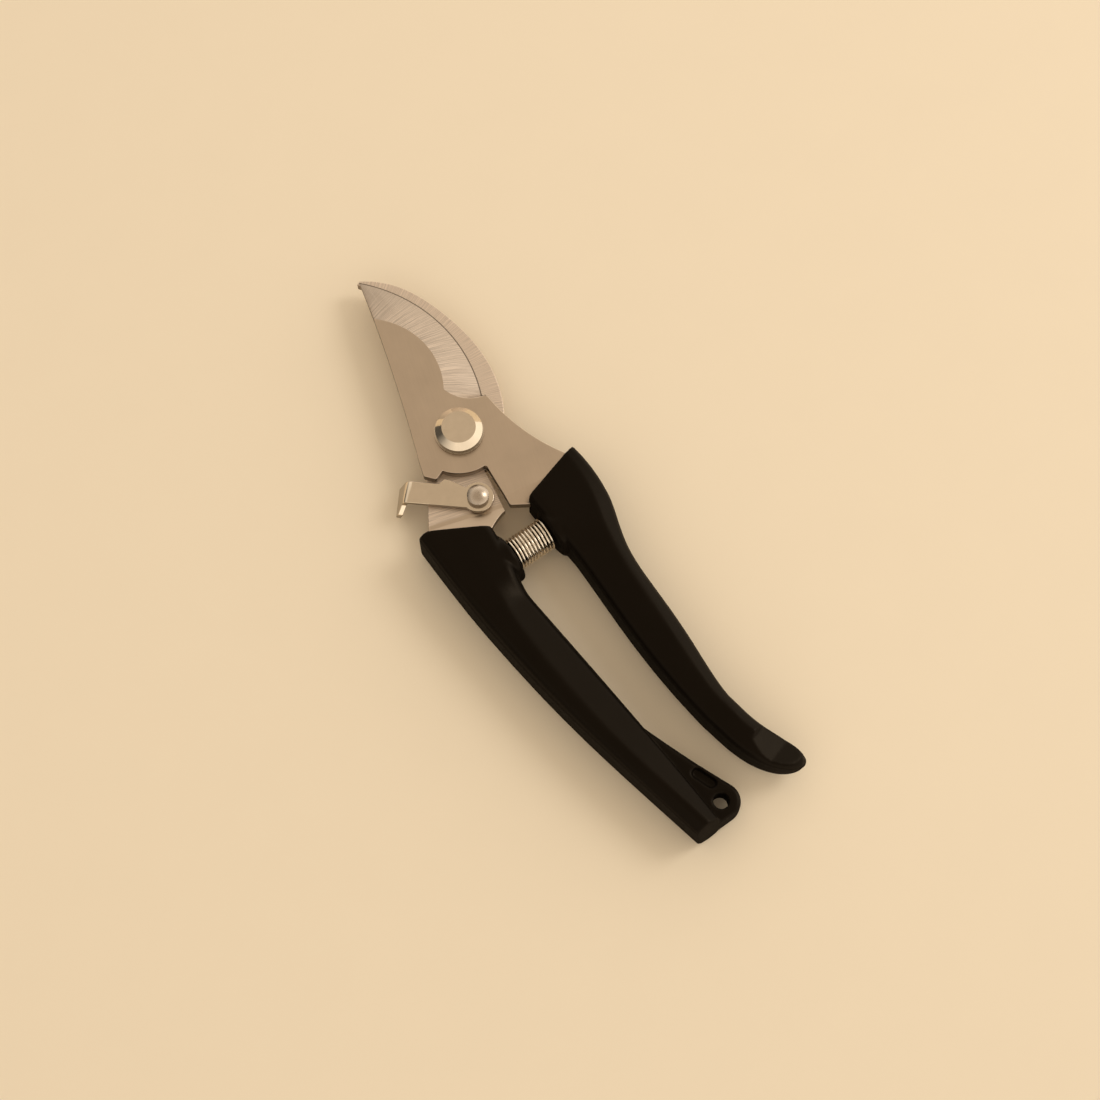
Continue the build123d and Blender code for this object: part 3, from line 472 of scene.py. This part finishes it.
def break_edges(part, width):
    """Welds a node's facets together and softens its sharp edges."""
    weld = part.modifiers.new("weld", "WELD")
    weld.merge_threshold = WELD_GAP
    flatten = part.modifiers.new("flatten", "DECIMATE")
    flatten.decimate_type = "DISSOLVE"
    flatten.angle_limit = radians(0.6)
    bevel = part.modifiers.new("edge_break", "BEVEL")
    bevel.width = width
    bevel.segments = 2
    bevel.limit_method = "ANGLE"
    bevel.angle_limit = radians(32.0)
    bevel.use_clamp_overlap = False
    bevel.harden_normals = True


class SHEARS_OT_blades(bpy.types.Operator):
    """Finish the cutting blade and the counter blade"""
    bl_idname = "shears.blades"
    bl_label = "Finish the blades"

    def execute(self, context):
        look = context.scene.shears_blades
        finishes = {
            "cutting_blade": cutting_blade_steel(look.satin, look.ground),
            "counter_blade": counter_blade_steel(look.satin, look.ground),
        }
        for node, material in finishes.items():
            break_edges(wear(node, material), look.edge_break)
        return {"FINISHED"}


class SHEARS_OT_fittings(bpy.types.Operator):
    """Finish the pivot's bolt, washers and nut, the catch and its rivet"""
    bl_idname = "shears.fittings"
    bl_label = "Finish the fittings"

    def execute(self, context):
        look = context.scene.shears_fittings
        satin = satin_fastener("fastener_steel", look.plating, PIVOT)
        finishes = {
            "pivot_bolt": bolt_plating(look.plating),
            "pivot_head_washer": satin,
            "pivot_lock_washer": satin,
            "pivot_nut": satin,
            "lock_catch": catch_plating(look.plating),
            "catch_washer": satin,
            "catch_rivet": satin_fastener("rivet_steel", look.rivet, RIVET),
        }
        for node, material in finishes.items():
            part = wear(node, material)
            if node in ("lock_catch", "pivot_nut"):
                break_edges(part, look.edge_break)
        return {"FINISHED"}


def spring_tree():
    """Geometry nodes: a spiral wire along +X from the origin."""
    tree = bpy.data.node_groups.new("spring_coil", "GeometryNodeTree")
    sockets = (
        ("Turns", "NodeSocketFloat"), ("Coil Radius", "NodeSocketFloat"), ("Length", "NodeSocketFloat"),
        ("Wire Radius", "NodeSocketFloat"), ("Steel", "NodeSocketMaterial"),
    )
    for name, kind in sockets:
        tree.interface.new_socket(name, in_out="INPUT", socket_type=kind)
    tree.interface.new_socket("Geometry", in_out="OUTPUT", socket_type="NodeSocketGeometry")
    nodes = {
        key: tree.nodes.new(kind) for key, kind in (
            ("in", "NodeGroupInput"), ("out", "NodeGroupOutput"), ("spiral", "GeometryNodeCurveSpiral"),
            ("round", "GeometryNodeCurvePrimitiveCircle"), ("tube", "GeometryNodeCurveToMesh"),
            ("lay", "GeometryNodeTransform"), ("real", "GeometryNodeRealizeInstances"),
            ("paint", "GeometryNodeSetMaterial"), ("smooth", "GeometryNodeSetShadeSmooth"),
        )
    }
    nodes["spiral"].inputs["Resolution"].default_value = STEPS_PER_TURN
    nodes["round"].inputs["Resolution"].default_value = WIRE_SIDES
    nodes["tube"].inputs["Fill Caps"].default_value = True
    nodes["lay"].inputs["Rotation"].default_value = (0.0, pi / 2, 0.0)
    links = (
        ("in", "Turns", "spiral", "Rotations"), ("in", "Coil Radius", "spiral", "Start Radius"),
        ("in", "Coil Radius", "spiral", "End Radius"), ("in", "Length", "spiral", "Height"),
        ("in", "Wire Radius", "round", "Radius"), ("spiral", "Curve", "tube", "Curve"),
        ("round", "Curve", "tube", "Profile Curve"), ("tube", "Mesh", "lay", "Geometry"),
        ("lay", "Geometry", "smooth", "Geometry"), ("smooth", "Geometry", "real", "Geometry"),
        ("real", "Geometry", "paint", "Geometry"), ("in", "Steel", "paint", "Material"),
        ("paint", "Geometry", "out", "Geometry"),
    )
    for source, out_name, target, in_name in links:
        tree.links.new(nodes[source].outputs[out_name], nodes[target].inputs[in_name])
    return tree


def grow(name, tree, settings):
    """Runs a geometry-nodes tree once and returns its result as a plain mesh object."""
    seed = bpy.data.objects.new(name + "_seed", bpy.data.meshes.new(name + "_seed"))
    bpy.context.collection.objects.link(seed)
    modifier = seed.modifiers.new("grow", "NODES")
    modifier.node_group = tree
    for item in tree.interface.items_tree:
        if item.in_out == "INPUT" and item.name in settings:
            modifier[item.identifier] = settings[item.name]
    grown = seed.evaluated_get(bpy.context.evaluated_depsgraph_get())
    mesh = bpy.data.meshes.new_from_object(grown)
    bpy.data.objects.remove(seed)
    made = bpy.data.objects.new(name, mesh)
    bpy.context.collection.objects.link(made)
    return made


class SHEARS_OT_spring(bpy.types.Operator):
    """Wind the return spring between its seats"""
    bl_idname = "shears.spring"
    bl_label = "Wind the return spring"

    def execute(self, context):
        form = context.scene.shears_spring
        low, high = (Vector(corner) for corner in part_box("return_spring"))
        middle = (low + high) / 2
        outside = min(high.y - low.y, high.z - low.z) / 2
        spring = grow("return_spring_coil", spring_tree(), {
            "Turns": float(form.turns),
            "Coil Radius": outside - form.wire / 2,
            "Length": high.x - low.x - form.wire,
            "Wire Radius": form.wire / 2,
            "Steel": spring_wire(form.steel),
        })
        spring.data.transform(Matrix.Translation((low.x + form.wire / 2, middle.y, middle.z)))
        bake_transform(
            spring, "lower_half", "upper_half",
            start=(low.x, middle.y, middle.z), end=(high.x, middle.y, middle.z),
        )
        self.keep_wire_round(spring.data)
        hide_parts("return_spring")
        return {"FINISHED"}

    def keep_wire_round(self, mesh):
        """Lets each ring of the wire move as one, so that only the gaps between turns open and close."""
        shares = mesh.attributes["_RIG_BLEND"].data
        for first in range(0, len(shares), WIRE_SIDES):
            ring = shares[first:first + WIRE_SIDES]
            middle = sum(share.value for share in ring) / len(ring)
            for share in ring:
                share.value = middle


class SHEARS_OT_grips(bpy.types.Operator):
    """Mould the two grips"""
    bl_idname = "shears.grips"
    bl_label = "Mould the grips"

    def execute(self, context):
        look = context.scene.shears_grips
        plastic = grip_plastic(look.plastic)
        for node in ("left_grip", "right_grip"):
            part = wear(node, plastic)
            weld = part.modifiers.new("weld", "WELD")
            weld.merge_threshold = WELD_GAP
            mould = part.modifiers.new("mould", "REMESH")
            mould.mode = "VOXEL"
            mould.voxel_size = look.voxel
            mould.use_smooth_shade = True
            soften = part.modifiers.new("soften", "SMOOTH")
            soften.factor = 0.5
            soften.iterations = look.soften
        return {"FINISHED"}


class SHEARS_OT_studio(bpy.types.Operator):
    """Lay the floor and set the lights and the camera"""
    bl_idname = "shears.studio"
    bl_label = "Set up the studio"

    def execute(self, context):
        setup = context.scene.shears_studio
        picture_up = Vector((-sin(setup.turn), cos(setup.turn), 0.0))
        picture_right = Vector((cos(setup.turn), sin(setup.turn), 0.0))
        aim = Vector((PIVOT.x + setup.aim[0], PIVOT.y + setup.aim[1], 0.0))
        self.floor(setup.floor)
        self.camera(context, setup, aim, picture_up, picture_right)
        self.light(context, setup, aim, picture_up, picture_right)
        self.world(context, setup, picture_right)
        context.scene.view_settings.view_transform = "Standard"
        return {"FINISHED"}

    def floor(self, colour):
        corners = [(x * FLOOR_REACH, y * FLOOR_REACH, 0.0) for x, y in ((-1, -1), (1, -1), (1, 1), (-1, 1))]
        mesh = bpy.data.meshes.new("floor")
        mesh.from_pydata(corners, [], [(0, 1, 2, 3)])
        floor = bpy.data.objects.new("floor", mesh)
        bpy.context.collection.objects.link(floor)
        recipe = Recipe("floor_paper")
        mottle = recipe.noise(recipe.place((0.0, 0.0, 0.0)), 0.05, 3.0)
        paper = recipe.tint(mottle, shade(colour, 0.99), shade(colour, 1.01))
        mesh.materials.append(recipe.finish(Base_Color=paper, Roughness=0.8, Specular_IOR_Level=0.15))

    def camera(self, context, setup, aim, picture_up, picture_right):
        back = (-picture_up * sin(setup.tilt) + Vector((0.0, 0.0, 1.0)) * cos(setup.tilt)).normalized()
        data = bpy.data.cameras.new("camera")
        data.lens = setup.lens
        data.sensor_width = 36.0
        data.sensor_fit = "HORIZONTAL"
        data.clip_start = 0.01
        eye = bpy.data.objects.new("camera", data)
        axes = Matrix((picture_right, back.cross(picture_right), back)).transposed()
        eye.matrix_world = Matrix.Translation(aim + back * setup.distance) @ axes.to_4x4()
        context.collection.objects.link(eye)
        context.scene.camera = eye

    def light(self, context, setup, aim, picture_up, picture_right):
        """Square soft box that faces the aim."""
        data = bpy.data.lights.new("key", "AREA")
        data.energy = setup.key_power
        data.size = setup.key_size
        data.color = setup.key_colour
        right, up, high = setup.key_at
        offset = picture_right * right + picture_up * up + Vector((0.0, 0.0, high))
        box = bpy.data.objects.new("key", data)
        box.location = aim + offset
        box.rotation_euler = (-offset).to_track_quat("-Z", "Y").to_euler()
        context.collection.objects.link(box)

    def world(self, context, setup, picture_right):
        """Warm overhead, pale around the horizon, dim low on the picture's left."""
        world = bpy.data.worlds.new("studio")
        world.use_nodes = True
        nodes, links = world.node_tree.nodes, world.node_tree.links
        background = nodes["Background"]
        coords = nodes.new("ShaderNodeTexCoord")
        split = nodes.new("ShaderNodeSeparateXYZ")
        ramp = nodes.new("ShaderNodeValToRGB")
        stops = ((0.3, setup.horizon), (0.9, setup.overhead))
        for element, (height, colour) in zip(ramp.color_ramp.elements, stops):
            element.position = height
            element.color = (*colour, 1.0)
        across = nodes.new("ShaderNodeVectorMath")
        across.operation = "DOT_PRODUCT"
        across.inputs[1].default_value = picture_right
        dim = nodes.new("ShaderNodeMapRange")
        dim_range = (("From Min", -0.9), ("From Max", -0.2), ("To Min", 0.1), ("To Max", setup.strength))
        for name, setting in dim_range:
            dim.inputs[name].default_value = setting
        lift = nodes.new("ShaderNodeMapRange")
        for name, setting in (("From Min", 0.2), ("From Max", 0.7), ("To Max", setup.strength)):
            lift.inputs[name].default_value = setting
        links.new(coords.outputs["Generated"], split.inputs[0])
        links.new(split.outputs[2], ramp.inputs[0])
        links.new(coords.outputs["Generated"], across.inputs[0])
        links.new(across.outputs["Value"], dim.inputs["Value"])
        links.new(ramp.outputs[0], background.inputs["Color"])
        links.new(split.outputs[2], lift.inputs["Value"])
        links.new(dim.outputs[0], lift.inputs["To Min"])
        links.new(lift.outputs[0], background.inputs["Strength"])
        context.scene.world = world


class SHEARS_PT_panel(bpy.types.Panel):
    """Pruning shears"""
    bl_idname = "SHEARS_PT_panel"
    bl_label = "Pruning shears"
    bl_space_type = "VIEW_3D"
    bl_region_type = "UI"
    bl_category = "Shears"

    def draw(self, context):
        for key, operator in SETTINGS.items():
            box = self.layout.box()
            settings = getattr(context.scene, key)
            for name in settings.bl_rna.properties.keys():
                if name not in ("rna_type", "name"):
                    box.prop(settings, name)
            box.operator(operator.bl_idname)


SETTINGS = {
    "shears_blades": SHEARS_OT_blades,
    "shears_fittings": SHEARS_OT_fittings,
    "shears_spring": SHEARS_OT_spring,
    "shears_grips": SHEARS_OT_grips,
    "shears_studio": SHEARS_OT_studio,
}
GROUPS = dict(zip(SETTINGS, (BladeFinish, FittingFinish, SpringForm, GripFinish, StudioSetup)))
CLASSES = (*GROUPS.values(), *SETTINGS.values(), SHEARS_PT_panel)


def register():
    for cls in CLASSES:
        bpy.utils.register_class(cls)
    for key, group in GROUPS.items():
        setattr(bpy.types.Scene, key, PointerProperty(type=group))


def unregister():
    for key in GROUPS:
        delattr(bpy.types.Scene, key)
    for cls in reversed(CLASSES):
        bpy.utils.unregister_class(cls)


def main():
    register()
    bpy.ops.shears.blades()
    bpy.ops.shears.fittings()
    bpy.ops.shears.spring()
    bpy.ops.shears.grips()
    bpy.ops.shears.studio()


if __name__ == "__main__":
    main()
